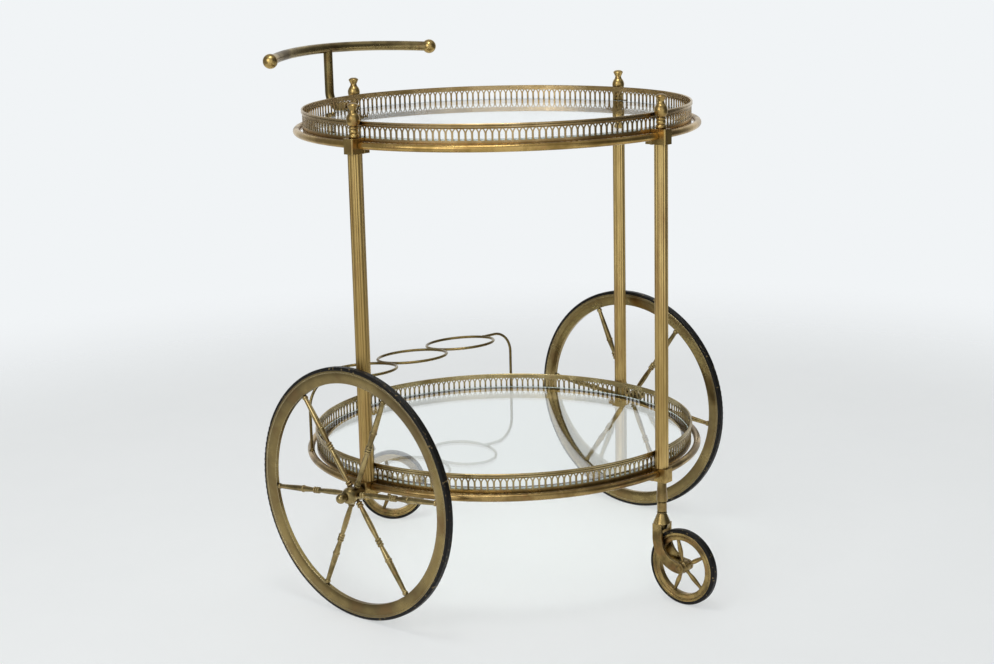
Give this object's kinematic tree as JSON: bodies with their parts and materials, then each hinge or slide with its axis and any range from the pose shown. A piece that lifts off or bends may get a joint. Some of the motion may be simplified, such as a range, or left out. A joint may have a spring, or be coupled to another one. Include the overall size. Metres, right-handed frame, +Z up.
{
  "type": "bar cart",
  "caption": "Round brass bar cart with glazed trays in pierced galleries, fluted posts, large spoked side wheels, swivel casters, a push handle and a wire bottle holder.",
  "frame": {"origin": "on the floor, under the middle of the footprint", "axes": "+Z up, +X to the front (away from the handle), +Y to the left"},
  "size_m": [0.6269, 0.5968, 0.6519],
  "materials": {
    "brass": "aged, satin",
    "glass": "clear, polished",
    "tyre": "matt black rubber"
  },
  "bodies": {
    "frame": {"upper_rail": "brass", "upper_tray_ring": "brass", "upper_gallery": "brass", "upper_glass": "glass", "upper_tray_screws": "brass", "lower_rail": "brass", "lower_tray_ring": "brass", "lower_gallery": "brass", "lower_glass": "glass", "lower_tray_screws": "brass", "tie_rods": "brass", "post_front": "brass", "finial_front": "brass", "upper_block_front": "brass", "lower_block_front": "brass", "post_left": "brass", "finial_left": "brass", "upper_block_left": "brass", "lower_block_left": "brass", "post_rear": "brass", "finial_rear": "brass", "upper_block_rear": "brass", "lower_block_rear": "brass", "post_right": "brass", "finial_right": "brass", "upper_block_right": "brass", "lower_block_right": "brass", "axle_left": "brass", "cap_nut_left": "brass", "axle_right": "brass", "cap_nut_right": "brass", "handle_bar": "brass", "handle_ball_left": "brass", "handle_ball_right": "brass", "handle_stem": "brass", "bottle_ring_right": "brass", "bottle_ring_middle": "brass", "bottle_ring_left": "brass", "bottle_leg_left": "brass", "bottle_leg_right": "brass", "leg_ferrule_front": "brass", "swivel_nut_front": "brass", "leg_ferrule_rear": "brass", "swivel_nut_rear": "brass"},
    "wheel_left": {"wheel_left_hub": "brass", "wheel_left_spokes": "brass", "wheel_left_rim": "brass", "wheel_left_tyre": "tyre"},
    "wheel_right": {"wheel_right_hub": "brass", "wheel_right_spokes": "brass", "wheel_right_rim": "brass", "wheel_right_tyre": "tyre"},
    "caster_front": {"caster_front_fork": "brass", "caster_front_pin": "brass"},
    "caster_front_wheel": {"caster_front_wheel": "brass", "caster_front_tyre": "tyre"},
    "caster_rear": {"caster_rear_fork": "brass", "caster_rear_pin": "brass"},
    "caster_rear_wheel": {"caster_rear_wheel": "brass", "caster_rear_tyre": "tyre"}
  },
  "joints": [
    {"name": "wheel_left_spin", "type": "hinge", "parent": "frame", "child": "wheel_left", "pos_m": [-0.013, 0.27, 0.1525], "axis": [0, 1, 0], "continuous": true},
    {"name": "wheel_right_spin", "type": "hinge", "parent": "frame", "child": "wheel_right", "pos_m": [-0.013, -0.27, 0.1525], "axis": [0, 1, 0], "continuous": true},
    {"name": "caster_front_swivel", "type": "hinge", "parent": "frame", "child": "caster_front", "pos_m": [0.235, 0, 0.1], "axis": [0, 0, 1], "continuous": true},
    {"name": "caster_front_spin", "type": "hinge", "parent": "caster_front", "child": "caster_front_wheel", "pos_m": [0.267, -0.00056, 0.0465], "axis": [0.0175, 0.9998, 0], "continuous": true},
    {"name": "caster_rear_swivel", "type": "hinge", "parent": "frame", "child": "caster_rear", "pos_m": [-0.261, 0, 0.1], "axis": [0, 0, 1], "continuous": true},
    {"name": "caster_rear_spin", "type": "hinge", "parent": "caster_rear", "child": "caster_rear_wheel", "pos_m": [-0.23578, 0.0197, 0.0465], "axis": [-0.6157, 0.788, 0], "continuous": true}
  ]
}
